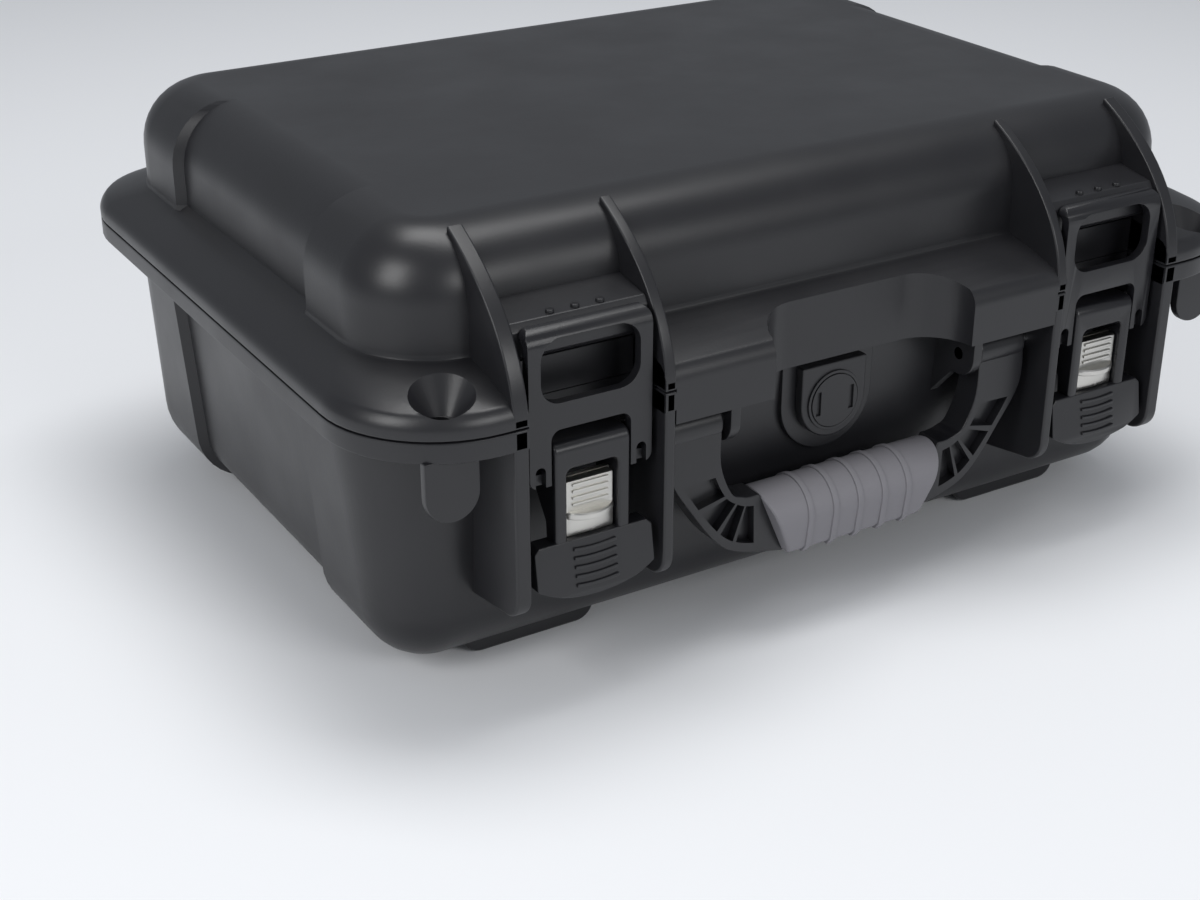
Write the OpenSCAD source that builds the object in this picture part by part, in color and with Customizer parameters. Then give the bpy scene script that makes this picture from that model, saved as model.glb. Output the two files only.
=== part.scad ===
// Hard carrying case for a folding drone: a moulded base and a hinged lid with two
// compound latches, a folding handle, a pressure valve and a foam insert.
// Axes: X runs along the width, the front is at -Y, Z is up and the feet stand on Z = 0.

/* [Case] */
// Width over the rim
case_w = 412; // [390:1:440]
// Depth over the rim and the hinge knuckles
case_d = 328; // [310:1:350]
// Height over the lid
case_h = 178; // [170:1:190]
// Height of the seam between base and lid
seam_z = 118; // [114:1:122]
// Corner radius of the rim, seen from above
rim_r = 46; // [42:1:50]
// Wall thickness of both shells
wall = 4; // [3:0.25:5]
// Height of the feet under the base
foot_h = 5; // [3:0.5:7]

/* [Base] */
// How far the base wall stands in from the rim at each side
base_in_x = 12; // [10:0.5:14]
// How far the base wall stands in from the rim at the front
base_in_y = 30; // [28:0.5:32]
// How much the base wall tapers on its way down
draft = 5; // [3:0.5:7]
// Corner radius of the base wall under the rim
base_r = 40; // [34:1:44]
// Radius of the rounded bottom edge
bottom_r = 26; // [20:1:28]
// Thickness of the base rim
base_rim = 8; // [7:0.5:10]
// How deep the side panels lie behind the corner columns
panel_in = 4; // [2:0.5:5]
// Half length of the side panels
panel_half = 65; // [50:1:75]
// Distance of the feet from the front and back walls
foot_in = 22; // [18:1:30]
// Length of each foot
foot_len = 54; // [40:1:70]

/* [Lid] */
// How far the dome stands in from the rim at each side
dome_in_x = 18; // [16:0.5:20]
// How far the dome stands in from the rim at the front
dome_in_y = 31; // [29:0.5:32]
// Corner radius of the dome, seen from above
dome_r = 36; // [32:1:40]
// Radius of the rounded top edge of the dome
crown_r = 26; // [20:1:30]
// Height of the lid rim at its outer edge
lid_rim = 6; // [5:0.5:8]
// Height of the lid rim where it meets the dome
lid_rise = 16; // [14:0.5:18]
// How far the skirt over the handle hangs below the seam
skirt_drop = 13; // [10:0.5:14]
// Half width of the hand recess in the skirt
recess_half = 47; // [42:0.5:52]
// Depth of the hand recess
recess_in = 20; // [18:0.5:21]

/* [Latches] */
// Distance of each latch from the middle
latch_x = 122; // [118:1:130]
// Clear width between the ribs of a latch bay
bay_w = 55; // [53:0.5:58]
// Thickness of the outer rib
rib_out_t = 6; // [5:0.5:7]
// Thickness of the inner rib
rib_in_t = 4.5; // [4:0.5:6]
// Width of the claw
claw_w = 50; // [48:0.5:51]
// Height of the claw's top edge above the seam
claw_top = 32; // [30:0.5:34]
// Depth of the claw's legs below the seam
claw_drop = 27; // [25:0.5:29]
// Thickness of the claw plate
claw_t = 4; // [3:0.25:4.5]
// Width of the lever block
block_w = 31; // [29:0.5:33]
// Width of the lever grip
grip_w = 49; // [46:0.5:51]
// Depth of the lever's lower edge below the seam
lever_drop = 73; // [68:0.5:76]
// Width of the window that holds the slide lock
window_w = 21; // [19:0.5:22]
// Radius of the latch pins
latch_pin_r = 1.6; // [1.2:0.1:2]
// Travel of the slide lock
slide_travel = 5; // [3:0.5:6]

/* [Handle] */
// Half width over the handle arms
arm_out = 85; // [80:0.5:86]
// Half width between the arms at the pivots
arm_in = 62; // [60:0.5:66]
// Thickness of the handle frame
arm_t = 12; // [9:0.5:13]
// Depth of the handle pivot below the seam
pivot_drop = 24; // [22:0.5:26]
// Depth of the handle's lower edge below the seam
handle_drop = 86; // [80:0.5:90]
// Height of the soft grip
soft_h = 28; // [24:0.5:30]
// Depth of the soft grip from front to back
soft_d = 26; // [22:0.5:26]
// Half width of the soft grip at its top
soft_top = 44; // [40:0.5:46]
// Half width of the soft grip at its lower edge
soft_low = 31; // [28:0.5:36]
// Radius of the handle pins
handle_pin_r = 2.5; // [2:0.1:3.5]

/* [Hinge] */
// Distance of each hinge's middle from the end of the case
hinge_inset = 94; // [85:1:110]
// Length of each hinge
hinge_w = 70; // [50:1:80]
// Radius of the hinge knuckles
knuckle_r = 6; // [5:0.25:7]
// Radius of the hinge pins
hinge_pin_r = 2.5; // [2:0.1:3]

/* [Valve and eyes] */
// Radius of the valve's round plate
valve_r = 15.5; // [14:0.5:18]
// Radius of the vent disc
disc_r = 11; // [9:0.5:12]
// Depth of the valve's centre below the seam
valve_drop = 34; // [30:0.5:36]
// Radius of the padlock eyes
eye_r = 4; // [3:0.25:4.5]
// Distance of each padlock eye from the middle
eye_x = 176; // [172:0.5:180]

/* [Foam] */
// Thickness of the foam under the pockets
foam_floor = 22; // [15:1:40]
// Thickness of the lid foam
lid_foam_t = 26; // [15:1:34]
// Width of the folded drone's pocket
drone_w = 214; // [190:1:225]
// Depth of the folded drone's pocket
drone_d = 108; // [95:1:115]
// Width of the controller's pocket
control_w = 172; // [150:1:185]
// Depth of the controller's pocket
control_d = 92; // [80:1:96]
// Width of each battery pocket
cell_w = 44; // [36:1:48]
// Length of each battery pocket
cell_d = 92; // [80:1:100]

/* [Fits] */
// Gap between the rims of base and lid
seam_gap = 0.4; // [0.3:0.05:0.8]
// Radial clearance of a pin in its bore
fit = 0.05; // [0.03:0.01:0.1]
// Gap between two parts that slide or swing past each other
run_gap = 0.7; // [0.5:0.1:1]
// Gap round the foam
soft_gap = 0.5; // [0.3:0.1:1]

/* [Hidden] */
$fn = 48;

eps = 0.01;
far = 60; // reach of a cutting block beyond the case
rim_x = case_w / 2;
hinge_x = rim_x - hinge_inset;
front = -case_d / 2;
axis_y = case_d / 2 - knuckle_r; // hinge axis, on the seam
rim_back = axis_y - 2;
lid_z = seam_z + seam_gap; // underside of the lid rim

// Base wall
base_x = rim_x - base_in_x;
base_y = -front - base_in_y;
base_top = seam_z - base_rim - 6; // where the wall leaves the flare under the rim
low_x = base_x - draft;
low_y = base_y - draft;
panel_x = base_x - panel_in;
cavity_x = panel_x - wall;
cavity_y = base_y - wall;
panel_low = foot_h + 3; // underside of the side panels
floor_z = foot_h + wall + 2;

// Lid dome
dome_x = rim_x - dome_in_x;
dome_y = -front - dome_in_y;
valley_z = seam_z + lid_rise;
crown_z = case_h - crown_r;
dome_panel_x = dome_x - panel_in;
hollow_x = dome_panel_x - wall;
hollow_y = dome_y - wall;
hollow_top = case_h - wall - 1;

// Seal between the rims
seal_x = rim_x - 15.5;
seal_y = dome_y + 3.5;
seal_r = dome_r + 5;
seal_w = 4;
tongue_w = 2;
tongue_h = 1.2;
seal_t = 2.6;
groove_z = lid_z + tongue_h + 0.3 + seal_t;

// Skirt and hand recess
skirt_t = 4.5;
skirt_z = seam_z - skirt_drop;
skirt_half = latch_x - bay_w / 2 - rib_in_t;
skirt_gap = 0.8;

// Latch bay and mechanism, in the bay's own x
bay = bay_w / 2;
bay_back = -dome_y - 9; // front of both rims inside the bay
pin_y = front + 15; // lever pivot
pin_z = seam_z - 15;
claw_pin_y = pin_y + 3;
claw_pin_z = pin_z - 12;
claw_y = front + 5; // front of the claw plate
lever_y = front + 4; // front of the lever block
lever_z = seam_z - lever_drop;
claw_low = seam_z - claw_drop;
claw_high = seam_z + claw_top;
block_top = pin_z + 3.5;
window_low = seam_z - 52;
window_top = claw_pin_z + 5;
shoulder_z = window_low + 2;
grip_out = 3.5; // how far the grip flares out at its lower edge
pin_hold = 3; // depth of a pin's end in a rib
boss_r = 4;
lip_y = claw_y + claw_t + 3.2; // front of the keeper on the lid
slide_z = window_low + 2;
slide_h = window_top - slide_z - slide_travel - 1;
slide_w = window_w - 2 * run_gap;
slide_y = lever_y + 2.4; // front of the slide's plate
slide_t = 4.4;

// Handle
pivot_y = front + 17;
pivot_z = seam_z - pivot_drop;
knob_r = 7; // radius of the arm's pivot end
handle_z = seam_z - handle_drop;
soft_y = pivot_y; // middle of the soft grip
core_h = soft_h - 12;
core_d = arm_t - 1;
fin_t = 4.5;
fin_x = arm_in - 1.5 - fin_t;
// Stations along an arm: outer edge and inner edge, from the pivot down to the grip
soft_end = handle_z + soft_h;
ARM_OUT = [[arm_out, pivot_z], [arm_out, handle_z + 45], [arm_out - 10, handle_z + 28],
  [arm_out - 22, handle_z + 12], [soft_low + 21, handle_z + 5], [soft_low, handle_z]];
ARM_IN = [[arm_in, pivot_z], [arm_in, handle_z + 45], [arm_in - 5, soft_end + 4],
  [arm_in - 10, soft_end + 1], [soft_top + 4, soft_end], [soft_top, soft_end]];

// Padlock eyes
eye_y = front + 15;

// Valve
valve_z = seam_z - valve_drop;
boss_y = -base_y - 1; // face of the valve's pad on the wall
plate_t = 4.4;
stem_r = 6;
pad_r = 14; // flat pad inside the wall, under the nut
nut_t = 4;
valve_in_y = -cavity_y + 2.5; // inner end of the wall's bore pad
stem_end = valve_in_y + nut_t + 0.8;

// Foam
foam_z = floor_z + soft_gap;
foam_top = seam_z - 1;
pocket_z = foam_z + foam_floor;
web = 14; // foam left between two pockets

function arc(cx, cy, r, from, to, n = 8) =
  [for (i = [0:n]) let (a = from + (to - from) * i / n) [cx + r * cos(a), cy + r * sin(a)]];

// A smooth bow from a to c that leans towards b
function bow(a, b, c, n = 12) =
  [for (i = [0:n]) let (t = i / n) (1 - t) * (1 - t) * a + 2 * t * (1 - t) * b + t * t * c];

// A rounded rectangle, half width x, between y0 and y1
module plan(x, y0, y1, r) {
  translate([-x, y0 + r]) square([2 * x, y1 - y0 - 2 * r]);
  translate([-x + r, y0]) square([2 * (x - r), y1 - y0]);
  for (sx = [-1, 1], y = [y0 + r, y1 - r])
    translate([sx * (x - r), y]) circle(r = r);
}

module slab(x, y0, y1, r, z0, z1) {
  translate([0, 0, z0]) linear_extrude(z1 - z0) plan(x, y0, y1, r);
}

// A profile drawn in (y, z), extruded from x0 to x1
module along_x(x0, x1) {
  translate([x0, 0, 0]) rotate([90, 0, 90]) linear_extrude(x1 - x0) children();
}

// A profile drawn in (x, z), extruded from y0 to y1
module along_y(y0, y1) {
  translate([0, y1, 0]) rotate([90, 0, 0]) linear_extrude(y1 - y0) children();
}

module rod(x0, x1, y, z, r) {
  translate([x0, y, z]) rotate([0, 90, 0]) cylinder(r = r, h = x1 - x0);
}

module both_sides() {
  children();
  mirror([1, 0, 0]) children();
}

module at_latches() {
  both_sides() translate([-latch_x, 0, 0]) children();
}

module corners(x, y) {
  for (sx = [-1, 1], sy = [-1, 1]) translate([sx * x, sy * y, 0]) children();
}

// ---- Base shell ----

// The drafted tub with its rounded bottom; inset makes the inside
module tub(x, y, top_r, low_r, floor_z, top_z) {
  hull() {
    corners(x - top_r, y - top_r) translate([0, 0, top_z]) cylinder(r = top_r, h = 1);
    corners(x - draft - low_r, y - draft - low_r)
      translate([0, 0, floor_z + low_r]) sphere(r = low_r, $fn = 32);
  }
}

// Flare from the wall out to the rim
module base_flare() {
  hull() {
    slab(base_x, -base_y, base_y, base_r, base_top - 4, base_top);
    slab(rim_x - 1, -base_y - 8, base_y + 8, rim_r, seam_z - base_rim, seam_z - base_rim + 1);
  }
}

module side_panel_cut() {
  r = bottom_r - panel_in;
  low = panel_low;
  both_sides() along_y(-panel_half, panel_half) polygon(concat(
    [[rim_x, base_top - 8], [panel_x, base_top - 8]],
    arc(panel_x - draft - r, low + r, r, 0, -90),
    [[panel_x - draft - r, -far], [rim_x, -far]]));
}

module foot() {
  r = 8;
  len_x = bay_w + 3;
  along_y(-base_y + foot_in, -base_y + foot_in + foot_len) {
    translate([-len_x / 2, r]) square([len_x, bottom_r]);
    translate([-len_x / 2 + r, 0]) square([len_x - 2 * r, bottom_r]);
    for (sx = [-1, 1]) translate([sx * (len_x / 2 - r), r]) circle(r = r);
  }
}

module base_rib(x0, x1) {
  low = lever_z - 3;
  along_x(x0, x1) polygon(concat(
    [[-base_y + 1, seam_z], [front, seam_z]],
    arc(front + 10, low + 10, 10, 180, 270),
    [[-base_y + 6, low - 4]]));
}

module handle_fin() {
  r = 9;
  along_x(fin_x, fin_x + fin_t) polygon(concat(
    [[-base_y + 2, seam_z - base_rim + 1], [pivot_y - r, seam_z - base_rim + 1]],
    arc(pivot_y, pivot_z, r, 180, 290),
    [[-base_y + 4, pivot_z - 24]]));
}

module base_knuckles() {
  for (s = [-1, 1]) {
    x0 = s > 0 ? hinge_w / 6 + seam_gap : -hinge_w / 2;
    x1 = s > 0 ? hinge_w / 2 : -hinge_w / 6 - seam_gap;
    rod(x0, x1, axis_y, seam_z, knuckle_r);
    along_x(x0, x1) polygon([[rim_back - 6, seam_z], [axis_y + knuckle_r, seam_z],
      [axis_y + knuckle_r - 2, seam_z - 6], [dome_y, seam_z - 26], [dome_y - 2, seam_z - base_rim]]);
  }
}

module eye_lug() {
  y0 = front + 6;
  along_y(y0, y0 + 4) {
    translate([-eye_x, seam_z - 21]) circle(r = 10.5);
    translate([-eye_x - 10.5, seam_z - 21]) square([21, 14]);
  }
}

module valve_pad() {
  along_y(boss_y, -cavity_y - 1) valve_outline(valve_r + 6.5, seam_z - base_rim + 1);
}

module valve_outline(r, top) {
  translate([0, valve_z]) circle(r = r);
  translate([-r, valve_z]) square([2 * r, top - valve_z]);
}

// Seen from above: all that lies in front of the skirt's outer face, grown back by grow
module skirt_front(grow) {
  middle = recess_half - recess_in;
  translate([-skirt_half, front - far]) square([2 * skirt_half, far + grow]);
  translate([-middle, front - far]) square([2 * middle, far + recess_in + grow]);
  for (s = [-1, 1]) translate([s * middle, front]) circle(r = recess_in + grow);
}

module base_shell() {
  color([0.06, 0.06, 0.065]) difference() {
    union() {
      difference() {
        union() {
          tub(base_x, base_y, base_r, bottom_r, foot_h, base_top);
          base_flare();
          slab(rim_x, front, rim_back, rim_r, seam_z - base_rim, seam_z);
        }
        side_panel_cut();
        // the rim is cut back in the latch bays and under the skirt
        at_latches() translate([-bay, front - far, base_top - 20])
          cube([bay_w, bay_back - front + far, far]);
        translate([0, 0, base_top - 20]) linear_extrude(far) skirt_front(skirt_t + skirt_gap);
        // the lid knuckles turn in these notches
        both_sides() translate([hinge_x - hinge_w / 6 - seam_gap, axis_y - knuckle_r - 1, seam_z - 20])
          cube([hinge_w / 3 + 2 * seam_gap, far, far]);
      }
      at_latches() {
        base_rib(-bay - rib_out_t, -bay);
        base_rib(bay, bay + rib_in_t);
        foot();
        mirror([0, 1, 0]) foot();
      }
      both_sides() {
        handle_fin();
        translate([hinge_x, 0, 0]) base_knuckles();
        eye_lug();
      }
      valve_pad();
      difference() {
        slab(seal_x + tongue_w / 2, -seal_y - tongue_w / 2, seal_y + tongue_w / 2,
          seal_r + tongue_w / 2, seam_z - 1, seam_z + tongue_h);
        slab(seal_x - tongue_w / 2, -seal_y + tongue_w / 2, seal_y - tongue_w / 2,
          seal_r - tongue_w / 2, seam_z - 2, seam_z + 2);
      }
    }
    // inside of the tub, left thicker round the valve
    difference() {
      union() {
        tub(cavity_x, cavity_y, base_r - wall, bottom_r - wall, floor_z, base_top - 1);
        slab(cavity_x, -cavity_y, cavity_y, base_r - wall, base_top - eps, seam_z + far);
      }
      along_y(-cavity_y - 2, valve_in_y) translate([0, valve_z]) circle(r = pad_r);
    }
    at_latches() {
      rod(-bay - pin_hold, bay + pin_hold, pin_y, pin_z, latch_pin_r + fit);
    }
    both_sides() {
      rod(fin_x - 1, skirt_half + pin_hold, pivot_y, pivot_z, handle_pin_r + fit);
      rod(hinge_x - hinge_w / 2 - 1, hinge_x + hinge_w / 2 + 1, axis_y, seam_z, hinge_pin_r + fit);
      translate([eye_x, eye_y, seam_z - base_rim - 20]) cylinder(r = eye_r, h = far);
    }
    along_y(boss_y - 1, valve_in_y + 1) translate([0, valve_z]) circle(r = stem_r + fit);
  }
}

// ---- Lid shell ----

module dome(x, y, r, edge, z0, top) {
  hull() corners(x - r, y - r) rotate_extrude($fn = 48) {
    translate([0, z0]) square([r, top - edge - z0]);
    square_top = r - edge;
    translate([0, z0]) square([square_top, top - z0]);
    intersection() {
      translate([square_top, top - edge]) circle(r = edge);
      translate([0, z0]) square([r + 1, top - z0 + 1]);
    }
  }
}

module lid_rim_body() {
  hull() {
    slab(rim_x, front, rim_back, rim_r, lid_z, seam_z + lid_rim);
    slab(rim_x - 3.5, front + 3.5, rim_back - 3.5, rim_r - 3.5, seam_z + lid_rim, seam_z + lid_rim + 4);
    slab(dome_x + 2, -dome_y - 2, dome_y + 2, dome_r + 2, valley_z - 1, valley_z);
  }
}

module lid_panel_cut() {
  r = crown_r;
  both_sides() along_y(-panel_half, panel_half) polygon(concat(
    [[dome_x + 1, valley_z + 0.5], [dome_panel_x, valley_z + 0.5]],
    arc(dome_panel_x - r, case_h - r, r, 0, 90),
    [[dome_x + 1, case_h]]));
}

// The crest climbs from the rim in one sweep and dies into the crown
module lid_rib() {
  difference() {
    polygon(concat(
      [[front, lid_z]],
      bow([front, seam_z + 8], [front + 4, seam_z + 38], [front + 45, case_h - 0.5]),
      [[front + 49, case_h - 0.5], [front + 49, lid_z]]));
    lid_front();
  }
}

// The keeper that the claw closes over, with its three grip bumps
module keeper() {
  top = claw_high + 1;
  along_x(-bay, bay) polygon([[-dome_y, top - 14], [lip_y + 2, top - 14],
    [lip_y, top - 12], [lip_y, top - 3], [lip_y + 2, top], [-dome_y, top + 3]]);
  for (x = [-1, 0, 1]) translate([x * 10, lip_y + 4, top - 0.2]) cylinder(r = 1.6, h = 1.6);
}

module skirt() {
  translate([0, 0, skirt_z]) linear_extrude(lid_z + 2 - skirt_z) difference() {
    skirt_front(skirt_t);
    skirt_front(0);
  }
}

module lid_knuckle() {
  half = hinge_w / 6;
  rod(-half, half, axis_y, seam_z, knuckle_r);
  along_x(-half, half) polygon([[rim_back - 8, lid_z], [axis_y, lid_z],
    [axis_y + knuckle_r - 1.5, seam_z + 3.6], [rim_back - 4, seam_z + 9.5], [rim_back - 8, seam_z + 9.5]]);
}

module lid_shell() {
  color([0.07, 0.07, 0.075]) difference() {
    union() {
      difference() {
        union() {
          lid_rim_body();
          dome(dome_x, dome_y, dome_r, crown_r, lid_z, case_h);
        }
        lid_panel_cut();
        at_latches() translate([-bay, front - far, lid_z - 1])
          cube([bay_w, bay_back - front + far, lid_rise + 1]);
        both_sides() for (s = [-1, 1])
          translate([hinge_x + s * hinge_w / 3 - hinge_w / 6 - 2 * seam_gap,
            axis_y - knuckle_r - 1, lid_z - 1])
            cube([hinge_w / 3 + 4 * seam_gap, far, far]);
      }
      skirt();
      both_sides() translate([hinge_x, 0, 0]) lid_knuckle();
    }
    // hand recess, open to the front
    translate([0, 0, skirt_z - 1]) linear_extrude(far) skirt_front(0);
    dome(hollow_x, hollow_y, dome_r - wall, crown_r - wall, lid_z - 5, hollow_top);
    difference() {
      slab(seal_x + seal_w / 2 + 0.3, -seal_y - seal_w / 2 - 0.3, seal_y + seal_w / 2 + 0.3,
        seal_r + seal_w / 2 + 0.3, lid_z - 1, groove_z);
      slab(seal_x - seal_w / 2 - 0.3, -seal_y + seal_w / 2 + 0.3, seal_y - seal_w / 2 - 0.3,
        seal_r - seal_w / 2 - 0.3, lid_z - 2, groove_z + 1);
    }
    both_sides() {
      rod(hinge_x - hinge_w / 2 - 1, hinge_x + hinge_w / 2 + 1, axis_y, seam_z, hinge_pin_r + fit);
      translate([eye_x, eye_y, lid_z - 1]) cylinder(r = eye_r, h = far);
      translate([eye_x - 1, eye_y - 1, seam_z + 3]) cylinder(r1 = eye_r + 1, r2 = 15, h = 13);
    }
  }
}

// What the lid shell fills, seen from the side: rim edge, slope and crown
module lid_front() {
  polygon(concat(
    [[front, lid_z], [front, seam_z + lid_rim], [front + 3.5, seam_z + lid_rim + 4],
      [-dome_y - 2, valley_z], [-dome_y, valley_z]],
    arc(-dome_y + crown_r, crown_z, crown_r, 180, 90, 16),
    [[0, case_h], [0, lid_z]]));
}

// The two ribs and the keeper of a latch, moulded onto the lid's front
module latch_bracket() {
  color([0.07, 0.07, 0.075]) {
    along_x(-bay - rib_out_t, -bay) lid_rib();
    along_x(bay, bay + rib_in_t) lid_rib();
    keeper();
  }
}

module lid_gasket() {
  color([0.16, 0.16, 0.17]) difference() {
    slab(seal_x + seal_w / 2, -seal_y - seal_w / 2, seal_y + seal_w / 2,
      seal_r + seal_w / 2, groove_z - seal_t, groove_z - 0.3 + eps);
    slab(seal_x - seal_w / 2, -seal_y + seal_w / 2, seal_y - seal_w / 2,
      seal_r - seal_w / 2, groove_z - seal_t - 1, groove_z + 1);
  }
}

module hinge_pin() {
  color([0.62, 0.62, 0.64])
    rod(hinge_x - hinge_w / 2 + 0.5, hinge_x + hinge_w / 2 - 0.5, axis_y, seam_z, hinge_pin_r);
}

// ---- Latch, drawn round the middle of its bay ----

module rounded_window(half, z0, z1, r) {
  translate([0, (z0 + z1) / 2]) {
    square([2 * half, z1 - z0 - 2 * r], center = true);
    square([2 * (half - r), z1 - z0], center = true);
    for (sx = [-1, 1], sz = [-1, 1])
      translate([sx * (half - r), sz * ((z1 - z0) / 2 - r)]) circle(r = r);
  }
}

module claw_face() {
  half = claw_w / 2;
  difference() {
    union() {
      rounded_window(half, claw_low + 4, claw_high, 4);
      translate([-half, claw_low]) square([claw_w, 12]);
    }
    rounded_window(half - 5, seam_z + 4, claw_high - 4, 8);
    // the lever block stands between the legs
    translate([-block_w / 2 - run_gap, claw_low - 1])
      square([block_w + 2 * run_gap, block_top + 1.5 - claw_low]);
    rounded_window(block_w / 2 + run_gap, claw_low, block_top + 5.5, 4);
    for (s = [-1, 1]) translate([s * (block_w / 2 + half + run_gap) / 2, claw_low + 6]) {
      circle(r = 2);
      translate([-2, -8]) square([4, 8]);
    }
  }
}

// Side view of the claw plate, with the curl at its top
module claw_side() {
  bend = 6.5;
  polygon(concat(
    [[claw_y, claw_low - 1]],
    arc(claw_y + bend, claw_high - bend, bend, 180, 90),
    [[claw_y + bend, claw_high - claw_t]],
    arc(claw_y + bend, claw_high - bend, bend - claw_t, 90, 180),
    [[claw_y + claw_t, claw_low - 1]]));
}

module claw() {
  half = claw_w / 2;
  leg_x = block_w / 2 + run_gap;
  color([0.05, 0.05, 0.055]) difference() {
    union() {
      intersection() {
        along_y(claw_y - 1, claw_y + 8) claw_face();
        along_x(-half, half) claw_side();
      }
      for (s = [0, 1]) mirror([s, 0, 0]) {
        rod(leg_x, half, claw_pin_y, claw_pin_z, boss_r);
        translate([leg_x, claw_y + claw_t - 1, claw_pin_z])
          cube([half - leg_x, claw_pin_y - claw_y - claw_t + 1, boss_r]);
      }
    }
    rod(-half - 1, half + 1, claw_pin_y, claw_pin_z, latch_pin_r + fit);
  }
}

// Side view of the lever block: round over the pivot, then down to the grip
module block_side() {
  top_r = block_top - pin_z;
  polygon(concat(
    [[lever_y, shoulder_z - 8]],
    arc(lever_y + 4, block_top - 4, 4, 180, 90, 5),
    arc(pin_y, pin_z, top_r, 90, 0, 5),
    [[claw_pin_y + boss_r, claw_pin_z + 2], [claw_pin_y + boss_r, claw_pin_z - 3],
      [lever_y + 8, window_low + 8], [lever_y + 7, shoulder_z - 8]]));
}

module grip_face() {
  half = grip_w / 2;
  sag = 7;
  bow_r = (half * half + sag * sag) / (2 * sag);
  intersection() {
    translate([-half, lever_z - 1]) square([grip_w, shoulder_z - lever_z + 1]);
    translate([0, lever_z + bow_r]) circle(r = bow_r, $fn = 96);
  }
}

module grip_side() {
  polygon([[lever_y, shoulder_z + 1], [lever_y - grip_out, lever_z + 3], [lever_y - grip_out + 1, lever_z - 1],
    [lever_y + 3, lever_z - 1], [lever_y + 7, shoulder_z - 8], [lever_y + 7, shoulder_z + 1]]);
}

module lever() {
  half = block_w / 2;
  color([0.05, 0.05, 0.055]) difference() {
    union() {
      along_x(-half, half) block_side();
      intersection() {
        along_y(lever_y - 6, lever_y + 10) grip_face();
        along_x(-grip_w / 2, grip_w / 2) grip_side();
      }
      // finger ridges
      for (i = [1:4]) let (z = lever_z + 3 + i * 3.4)
        rod(-window_w / 2, window_w / 2, grip_front(z), z, 0.7);
    }
    translate([-window_w / 2, lever_y - 5, window_low])
      cube([window_w, far, window_top - window_low]);
    // guides of the slide lock
    translate([-window_w / 2 - 1.8, slide_y + slide_t - 0.4, window_low])
      cube([window_w + 3.6, 2.8, window_top - window_low]);
    rod(-half - 1, half + 1, pin_y, pin_z, latch_pin_r + fit);
    rod(-half - 1, half + 1, claw_pin_y, claw_pin_z, latch_pin_r + fit);
  }
}

function grip_front(z) = lever_y - grip_out * (shoulder_z + 1 - z) / (shoulder_z - 2 - lever_z);

module slide_lock() {
  half = slide_w / 2;
  lip_z = slide_z + slide_h * 0.4;
  color([0.72, 0.74, 0.76]) {
    translate([-half, slide_y, slide_z]) cube([slide_w, slide_t, slide_h]);
    // runners behind the lever's side walls
    translate([-half - 2, slide_y + slide_t, slide_z]) cube([slide_w + 4, 2, slide_h]);
    // thumb lip, bowed to the front
    intersection() {
      translate([0, slide_y + 12, lip_z - 1.2]) cylinder(r = 17, h = 2.4);
      translate([-half, slide_y - 6, lip_z - 2]) cube([slide_w, 8, 4]);
    }
  }
}

module lever_pin() {
  color([0.6, 0.6, 0.62])
    rod(-bay - pin_hold + 0.3, bay + pin_hold - 0.3, pin_y, pin_z, latch_pin_r);
}

module claw_pin() {
  color([0.6, 0.6, 0.62])
    rod(-claw_w / 2 + 0.5, claw_w / 2 - 0.5, claw_pin_y, claw_pin_z, latch_pin_r);
}

module at_left() {
  translate([-latch_x, 0, 0]) children();
}

module at_right() {
  mirror([1, 0, 0]) at_left() children();
}

// ---- Handle ----

function mid(a, b, t) = a + (b - a) * t;
function spot(i, u, v) = mid(mid(ARM_OUT[i], ARM_OUT[i + 1], u), mid(ARM_IN[i], ARM_IN[i + 1], u), v);

module arm() {
  n = len(ARM_OUT) - 1;
  difference() {
    union() {
      along_y(pivot_y - arm_t / 2, pivot_y + arm_t / 2)
        polygon(concat(ARM_OUT, [for (i = [n:-1:0]) ARM_IN[i]]));
      rod(arm_in, arm_out, pivot_y, pivot_z, knob_r);
    }
    // slot under the pivot
    along_y(pivot_y - far, pivot_y + far) translate([arm_out - 10.5, pivot_z - 13]) {
      circle(r = 4.5);
      translate([-4.5, 0]) square([9, 5]);
    }
    // hollow panels between the rims, with a web in the middle and cross struts
    for (i = [1:3], s = [-1, 1])
      along_y(pivot_y + (s > 0 ? 2 : -arm_t), pivot_y + (s > 0 ? arm_t : -2))
        polygon([spot(i, 0.1, 0.2), spot(i, 0.92, 0.2), spot(i, 0.92, 0.8), spot(i, 0.1, 0.8)]);
    rod(arm_in - 1, arm_out + 1, pivot_y, pivot_z, handle_pin_r + fit);
  }
}

// The bar inside the soft grip; grow makes its hole in the grip
module core(half, grow) {
  translate([-half, soft_y - core_d / 2 - grow, handle_z + (soft_h - core_h) / 2 - grow])
    cube([2 * half, core_d + 2 * grow, core_h + 2 * grow]);
}

module handle_frame() {
  color([0.05, 0.05, 0.055]) {
    both_sides() arm();
    core(soft_top, 0);
  }
}

module grip_outline() {
  polygon([[-soft_top, soft_end], [soft_top, soft_end],
    [soft_low, handle_z], [-soft_low, handle_z]]);
}

// Side view of the soft grip: round on top, flatter below
module grip_section() {
  r = soft_d / 2;
  z_mid = soft_end - r;
  polygon(concat(arc(soft_y, z_mid, r, -10, 190, 20),
    [[soft_y - r + 1.5, handle_z + 3], [soft_y - r + 4, handle_z],
      [soft_y + r - 4, handle_z], [soft_y + r - 1.5, handle_z + 3]]));
}

module handle_grip() {
  color([0.42, 0.42, 0.46]) difference() {
    intersection() {
      along_y(soft_y - soft_d, soft_y + soft_d) grip_outline();
      along_x(-soft_top, soft_top) grip_section();
    }
    core(soft_top + 1, fit);
  }
}

module handle_pin() {
  color([0.6, 0.6, 0.62])
    rod(fin_x, skirt_half + pin_hold - 0.3, pivot_y, pivot_z, handle_pin_r);
}

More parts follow.
